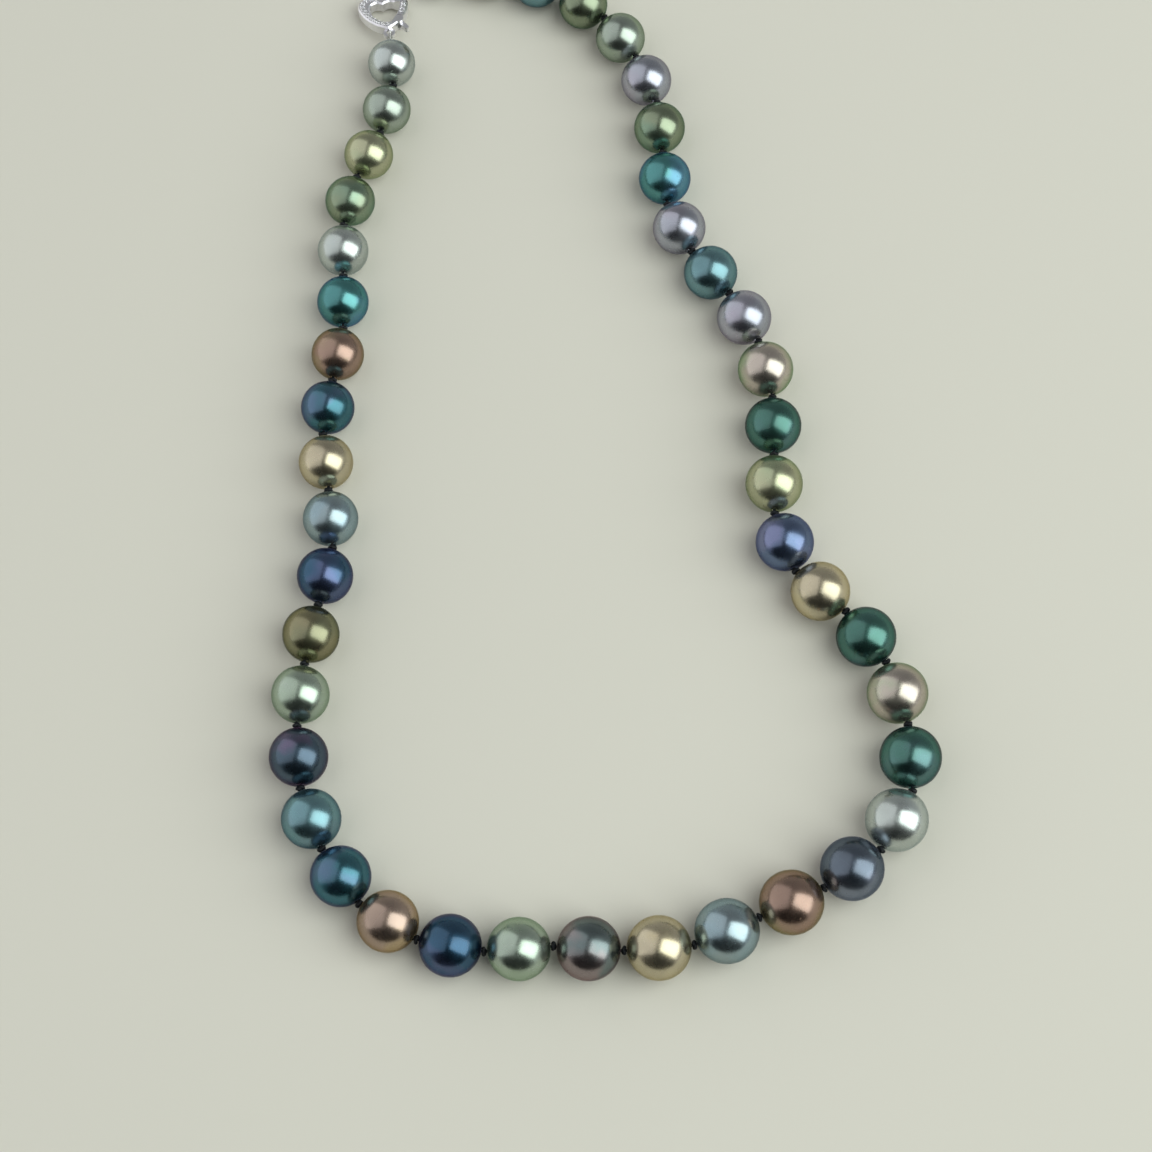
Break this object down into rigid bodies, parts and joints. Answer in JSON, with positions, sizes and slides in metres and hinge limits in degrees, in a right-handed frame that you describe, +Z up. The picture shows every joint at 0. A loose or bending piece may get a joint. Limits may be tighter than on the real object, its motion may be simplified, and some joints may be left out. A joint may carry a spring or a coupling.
{
  "type": "pearl necklace",
  "caption": "Single strand of graduated dark pearls on knotted silk, with a small open heart clasp, laid out in a loop.",
  "frame": {"origin": "middle of the whole necklace's box, on the surface it lies on", "axes": "+Z up, +Y from the largest pearls to the clasp, +X across the loop, clasp on the -X side"},
  "size_m": [0.1036, 0.1764, 0.0099],
  "materials": {
    "nacre_silver": "lustrous nacre, opaque",
    "nacre_sage": "lustrous nacre, opaque",
    "nacre_pistachio": "lustrous nacre, opaque",
    "nacre_moss": "lustrous nacre, opaque",
    "nacre_peacock": "lustrous nacre, opaque",
    "nacre_petrol": "lustrous nacre, opaque",
    "nacre_bottle": "lustrous nacre, opaque",
    "nacre_rose_bronze": "lustrous nacre, opaque",
    "nacre_rose_gold": "lustrous nacre, opaque",
    "nacre_bronze": "lustrous nacre, opaque",
    "nacre_champagne": "lustrous nacre, opaque",
    "nacre_steel": "lustrous nacre, opaque",
    "nacre_steel_teal": "lustrous nacre, opaque",
    "nacre_midnight": "lustrous nacre, opaque",
    "nacre_indigo": "lustrous nacre, opaque",
    "nacre_aubergine": "lustrous nacre, opaque",
    "nacre_slate": "lustrous nacre, opaque",
    "nacre_mint": "lustrous nacre, opaque",
    "nacre_rose_grey": "lustrous nacre, opaque",
    "nacre_rose_silver": "lustrous nacre, opaque",
    "nacre_lilac": "lustrous nacre, opaque",
    "silk": "twisted black silk",
    "french_wire": "fine coiled wire",
    "white_metal": "polished, rhodium-plated",
    "spring_steel": "satin",
    "clear_stone": "faceted, clear"
  },
  "bodies": {
    "pearl_01": {"pearl_01": "nacre_silver", "wire_loop_clasp": "french_wire"},
    "pearl_02": {"pearl_02": "nacre_sage"},
    "pearl_03": {"pearl_03": "nacre_pistachio"},
    "pearl_04": {"pearl_04": "nacre_moss"},
    "pearl_05": {"pearl_05": "nacre_silver"},
    "pearl_06": {"pearl_06": "nacre_peacock"},
    "pearl_07": {"pearl_07": "nacre_rose_bronze"},
    "pearl_08": {"pearl_08": "nacre_petrol"},
    "pearl_09": {"pearl_09": "nacre_champagne"},
    "pearl_10": {"pearl_10": "nacre_steel"},
    "pearl_11": {"pearl_11": "nacre_midnight"},
    "pearl_12": {"pearl_12": "nacre_bronze"},
    "pearl_13": {"pearl_13": "nacre_mint"},
    "pearl_14": {"pearl_14": "nacre_aubergine"},
    "pearl_15": {"pearl_15": "nacre_steel_teal"},
    "pearl_16": {"pearl_16": "nacre_petrol"},
    "pearl_17": {"pearl_17": "nacre_rose_gold"},
    "pearl_18": {"pearl_18": "nacre_midnight"},
    "pearl_19": {"pearl_19": "nacre_mint"},
    "pearl_20": {"pearl_20": "nacre_rose_grey"},
    "pearl_21": {"pearl_21": "nacre_champagne"},
    "pearl_22": {"pearl_22": "nacre_steel", "silk_thread": "silk"},
    "pearl_23": {"pearl_23": "nacre_rose_bronze"},
    "pearl_24": {"pearl_24": "nacre_slate"},
    "pearl_25": {"pearl_25": "nacre_silver"},
    "pearl_26": {"pearl_26": "nacre_bottle"},
    "pearl_27": {"pearl_27": "nacre_rose_silver"},
    "pearl_28": {"pearl_28": "nacre_bottle"},
    "pearl_29": {"pearl_29": "nacre_champagne"},
    "pearl_30": {"pearl_30": "nacre_indigo"},
    "pearl_31": {"pearl_31": "nacre_pistachio"},
    "pearl_32": {"pearl_32": "nacre_bottle"},
    "pearl_33": {"pearl_33": "nacre_rose_silver"},
    "pearl_34": {"pearl_34": "nacre_lilac"},
    "pearl_35": {"pearl_35": "nacre_steel_teal"},
    "pearl_36": {"pearl_36": "nacre_lilac"},
    "pearl_37": {"pearl_37": "nacre_peacock"},
    "pearl_38": {"pearl_38": "nacre_moss"},
    "pearl_39": {"pearl_39": "nacre_lilac"},
    "pearl_40": {"pearl_40": "nacre_sage"},
    "pearl_41": {"pearl_41": "nacre_moss"},
    "pearl_42": {"pearl_42": "nacre_steel_teal"},
    "pearl_43": {"pearl_43": "nacre_bronze"},
    "pearl_44": {"pearl_44": "nacre_silver", "wire_loop_tab": "french_wire"},
    "clasp": {"clasp_heart": "white_metal", "clasp_rivet": "white_metal", "gate_spring": "spring_steel", "frame_stones": "clear_stone"},
    "gate": {"clasp_gate": "white_metal", "gate_stones": "clear_stone"},
    "tab": {"end_tab": "white_metal"}
  },
  "joints": [
    {"name": "knot_21", "type": "hinge", "parent": "pearl_22", "child": "pearl_21", "pos_m": [0.01331, -0.08282, 0.00495], "axis": [-0.241, 0.9705, 0], "range_deg": [-38, 38], "deforming": ["silk_thread"]},
    {"name": "knot_20", "type": "hinge", "parent": "pearl_21", "child": "pearl_20", "pos_m": [0.00268, -0.08368, 0.00491], "axis": [0.0087, -1, 0], "range_deg": [-42, 42], "deforming": ["silk_thread"]},
    {"name": "knot_19", "type": "hinge", "parent": "pearl_20", "child": "pearl_19", "pos_m": [-0.00787, -0.083, 0.00486], "axis": [0.0051, -1, 0], "range_deg": [-42, 42], "deforming": ["silk_thread"]},
    {"name": "knot_18", "type": "hinge", "parent": "pearl_19", "child": "pearl_18", "pos_m": [-0.01831, -0.08378, 0.00481], "axis": [0.0518, 0.9987, 0], "range_deg": [-41, 41], "deforming": ["silk_thread"]},
    {"name": "knot_17", "type": "hinge", "parent": "pearl_18", "child": "pearl_17", "pos_m": [-0.02853, -0.08193, 0.00477], "axis": [0.3592, 0.9333, 0], "range_deg": [-38, 38], "deforming": ["silk_thread"]},
    {"name": "knot_16", "type": "hinge", "parent": "pearl_17", "child": "pearl_16", "pos_m": [-0.03726, -0.07649, 0.00472], "axis": [-0.6851, -0.7285, 0], "range_deg": [-37, 37], "deforming": ["silk_thread"]},
    {"name": "knot_15", "type": "hinge", "parent": "pearl_16", "child": "pearl_15", "pos_m": [-0.04316, -0.06817, 0.00467], "axis": [-0.8812, -0.4727, 0], "range_deg": [-41, 41], "deforming": ["silk_thread"]},
    {"name": "knot_14", "type": "hinge", "parent": "pearl_15", "child": "pearl_14", "pos_m": [-0.04678, -0.05874, 0.00463], "axis": [0.9739, 0.227, 0], "range_deg": [-41, 41], "deforming": ["silk_thread"]},
    {"name": "knot_13", "type": "hinge", "parent": "pearl_14", "child": "pearl_13", "pos_m": [-0.04768, -0.04877, 0.00458], "axis": [1, 0.0059, 0], "range_deg": [-43, 43], "deforming": ["silk_thread"]},
    {"name": "knot_12", "type": "hinge", "parent": "pearl_13", "child": "pearl_12", "pos_m": [-0.0469, -0.03889, 0.00453], "axis": [-0.9912, 0.1323, 0], "range_deg": [-44, 44], "deforming": ["silk_thread"]},
    {"name": "knot_11", "type": "hinge", "parent": "pearl_12", "child": "pearl_11", "pos_m": [-0.04507, -0.02924, 0.00449], "axis": [-0.9806, 0.196, 0], "range_deg": [-44, 44], "deforming": ["silk_thread"]},
    {"name": "knot_10", "type": "hinge", "parent": "pearl_11", "child": "pearl_10", "pos_m": [-0.04306, -0.01972, 0.00444], "axis": [0.9982, -0.0603, 0], "range_deg": [-41, 41], "deforming": ["silk_thread"]},
    {"name": "knot_09", "type": "hinge", "parent": "pearl_10", "child": "pearl_09", "pos_m": [-0.04392, -0.01012, 0.00439], "axis": [0.9942, 0.1074, 0], "range_deg": [-45, 45], "deforming": ["silk_thread"]},
    {"name": "knot_08", "type": "hinge", "parent": "pearl_09", "child": "pearl_08", "pos_m": [-0.04512, -0.00065, 0.00435], "axis": [-1, 0.0007, 0], "range_deg": [-43, 43], "deforming": ["silk_thread"]},
    {"name": "knot_07", "type": "hinge", "parent": "pearl_08", "child": "pearl_07", "pos_m": [-0.0439, 0.00872, 0.0043], "axis": [-0.99, 0.1409, 0], "range_deg": [-45, 45], "deforming": ["silk_thread"]},
    {"name": "knot_06", "type": "hinge", "parent": "pearl_07", "child": "pearl_06", "pos_m": [-0.04247, 0.01797, 0.00426], "axis": [0.9981, -0.0611, 0], "range_deg": [-44, 44], "deforming": ["silk_thread"]},
    {"name": "knot_05", "type": "hinge", "parent": "pearl_06", "child": "pearl_05", "pos_m": [-0.04277, 0.02723, 0.00421], "axis": [0.9997, 0.0261, 0], "range_deg": [-46, 46], "deforming": ["silk_thread"]},
    {"name": "knot_04", "type": "hinge", "parent": "pearl_05", "child": "pearl_04", "pos_m": [-0.04295, 0.0364, 0.00416], "axis": [-0.9949, 0.1013, 0], "range_deg": [-44, 44], "deforming": ["silk_thread"]},
    {"name": "knot_03", "type": "hinge", "parent": "pearl_04", "child": "pearl_03", "pos_m": [-0.04093, 0.04525, 0.00412], "axis": [-0.9483, 0.3174, 0], "range_deg": [-45, 45], "deforming": ["silk_thread"]},
    {"name": "knot_02", "type": "hinge", "parent": "pearl_03", "child": "pearl_02", "pos_m": [-0.03725, 0.05345, 0.00407], "axis": [0.9489, -0.3154, 0], "range_deg": [-45, 45], "deforming": ["silk_thread"]},
    {"name": "knot_01", "type": "hinge", "parent": "pearl_02", "child": "pearl_01", "pos_m": [-0.03533, 0.06213, 0.00402], "axis": [0.9974, -0.0721, 0], "range_deg": [-44, 44], "deforming": ["silk_thread"]},
    {"name": "knot_22", "type": "hinge", "parent": "pearl_22", "child": "pearl_23", "pos_m": [0.02319, -0.07858, 0.005], "axis": [0.4034, -0.915, 0], "range_deg": [-42, 43], "deforming": ["silk_thread"]},
    {"name": "knot_23", "type": "hinge", "parent": "pearl_23", "child": "pearl_24", "pos_m": [0.03298, -0.07415, 0.00495], "axis": [-0.4831, 0.8756, 0], "range_deg": [-41, 41], "deforming": ["silk_thread"]},
    {"name": "knot_24", "type": "hinge", "parent": "pearl_24", "child": "pearl_25", "pos_m": [0.04188, -0.06827, 0.00491], "axis": [-0.7289, 0.6847, 0], "range_deg": [-33, 33], "deforming": ["silk_thread"]},
    {"name": "knot_25", "type": "hinge", "parent": "pearl_25", "child": "pearl_26", "pos_m": [0.04712, -0.0591, 0.00486], "axis": [0.9689, -0.2474, 0], "range_deg": [-30, 30], "deforming": ["silk_thread"]},
    {"name": "knot_26", "type": "hinge", "parent": "pearl_26", "child": "pearl_27", "pos_m": [0.04689, -0.04862, 0.00481], "axis": [0.9877, 0.1561, 0], "range_deg": [-40, 40], "deforming": ["silk_thread"]},
    {"name": "knot_27", "type": "hinge", "parent": "pearl_27", "child": "pearl_28", "pos_m": [0.0439, -0.03868, 0.00477], "axis": [-0.8949, -0.4463, 0], "range_deg": [-39, 39], "deforming": ["silk_thread"]},
    {"name": "knot_28", "type": "hinge", "parent": "pearl_28", "child": "pearl_29", "pos_m": [0.0378, -0.03039, 0.00472], "axis": [-0.7341, -0.6791, 0], "range_deg": [-41, 41], "deforming": ["silk_thread"]},
    {"name": "knot_29", "type": "hinge", "parent": "pearl_29", "child": "pearl_30", "pos_m": [0.03008, -0.02374, 0.00467], "axis": [0.8337, 0.5522, 0], "range_deg": [-30, 30], "deforming": ["silk_thread"]},
    {"name": "knot_30", "type": "hinge", "parent": "pearl_30", "child": "pearl_31", "pos_m": [0.02702, -0.01412, 0.00463], "axis": [0.9894, 0.1452, 0], "range_deg": [-40, 40], "deforming": ["silk_thread"]},
    {"name": "knot_31", "type": "hinge", "parent": "pearl_31", "child": "pearl_32", "pos_m": [0.02719, -0.00411, 0.00458], "axis": [-1, 0.0086, 0], "range_deg": [-44, 44], "deforming": ["silk_thread"]},
    {"name": "knot_32", "type": "hinge", "parent": "pearl_32", "child": "pearl_33", "pos_m": [0.02719, 0.00581, 0.00453], "axis": [-0.9949, -0.1008, 0], "range_deg": [-43, 43], "deforming": ["silk_thread"]},
    {"name": "knot_33", "type": "hinge", "parent": "pearl_33", "child": "pearl_34", "pos_m": [0.02522, 0.01543, 0.00449], "axis": [0.9409, 0.3385, 0], "range_deg": [-41, 41], "deforming": ["silk_thread"]},
    {"name": "knot_34", "type": "hinge", "parent": "pearl_34", "child": "pearl_35", "pos_m": [0.02064, 0.02402, 0.00444], "axis": [0.8321, 0.5546, 0], "range_deg": [-43, 43], "deforming": ["silk_thread"]},
    {"name": "knot_35", "type": "hinge", "parent": "pearl_35", "child": "pearl_36", "pos_m": [0.01453, 0.03147, 0.00439], "axis": [-0.8484, -0.5293, 0], "range_deg": [-42, 42], "deforming": ["silk_thread"]},
    {"name": "knot_36", "type": "hinge", "parent": "pearl_36", "child": "pearl_37", "pos_m": [0.01057, 0.04015, 0.00435], "axis": [-0.9692, -0.2461, 0], "range_deg": [-40, 40], "deforming": ["silk_thread"]},
    {"name": "knot_37", "type": "hinge", "parent": "pearl_37", "child": "pearl_38", "pos_m": [0.00993, 0.04958, 0.0043], "axis": [0.9967, 0.0814, 0], "range_deg": [-45, 45], "deforming": ["silk_thread"]},
    {"name": "knot_38", "type": "hinge", "parent": "pearl_38", "child": "pearl_39", "pos_m": [0.00904, 0.0589, 0.00426], "axis": [0.9729, 0.2313, 0], "range_deg": [-43, 43], "deforming": ["silk_thread"]},
    {"name": "knot_39", "type": "hinge", "parent": "pearl_39", "child": "pearl_40", "pos_m": [0.00566, 0.06753, 0.00421], "axis": [-0.8812, -0.4727, 0], "range_deg": [-44, 44], "deforming": ["silk_thread"]},
    {"name": "knot_40", "type": "hinge", "parent": "pearl_40", "child": "pearl_41", "pos_m": [0.00039, 0.07503, 0.00416], "axis": [-0.7159, -0.6982, 0], "range_deg": [-42, 42], "deforming": ["silk_thread"]},
    {"name": "knot_41", "type": "hinge", "parent": "pearl_41", "child": "pearl_42", "pos_m": [-0.00692, 0.08042, 0.00412], "axis": [0.4615, 0.8872, 0], "range_deg": [-43, 43], "deforming": ["silk_thread"]},
    {"name": "knot_42", "type": "hinge", "parent": "pearl_42", "child": "pearl_43", "pos_m": [-0.01544, 0.08327, 0.00407], "axis": [0.2184, 0.9759, 0], "range_deg": [-45, 45], "deforming": ["silk_thread"]},
    {"name": "knot_43", "type": "hinge", "parent": "pearl_43", "child": "pearl_44", "pos_m": [-0.02427, 0.08431, 0.00402], "axis": [-0.0504, -0.9987, 0], "range_deg": [-46, 46], "deforming": ["silk_thread"]},
    {"name": "clasp_swing", "type": "hinge", "parent": "pearl_01", "child": "clasp", "pos_m": [-0.03604, 0.07159, 0.00397], "axis": [0.9972, 0.0754, 0], "range_deg": [-67, 102], "deforming": ["silk_thread"]},
    {"name": "tab_swing", "type": "hinge", "parent": "pearl_44", "child": "tab", "pos_m": [-0.03376, 0.08414, 0.00397], "axis": [-0.017, 0.9999, 0], "range_deg": [-37, 132], "deforming": ["silk_thread"]},
    {"name": "gate_opening", "type": "hinge", "parent": "clasp", "child": "gate", "pos_m": [-0.03466, 0.075, 0.00291], "axis": [-0.0232, 0.3074, 0.9513], "range_deg": [0, 20], "stiffness_Nm_per_rad": 0.0005, "springref_deg": -20.05}
  ]
}
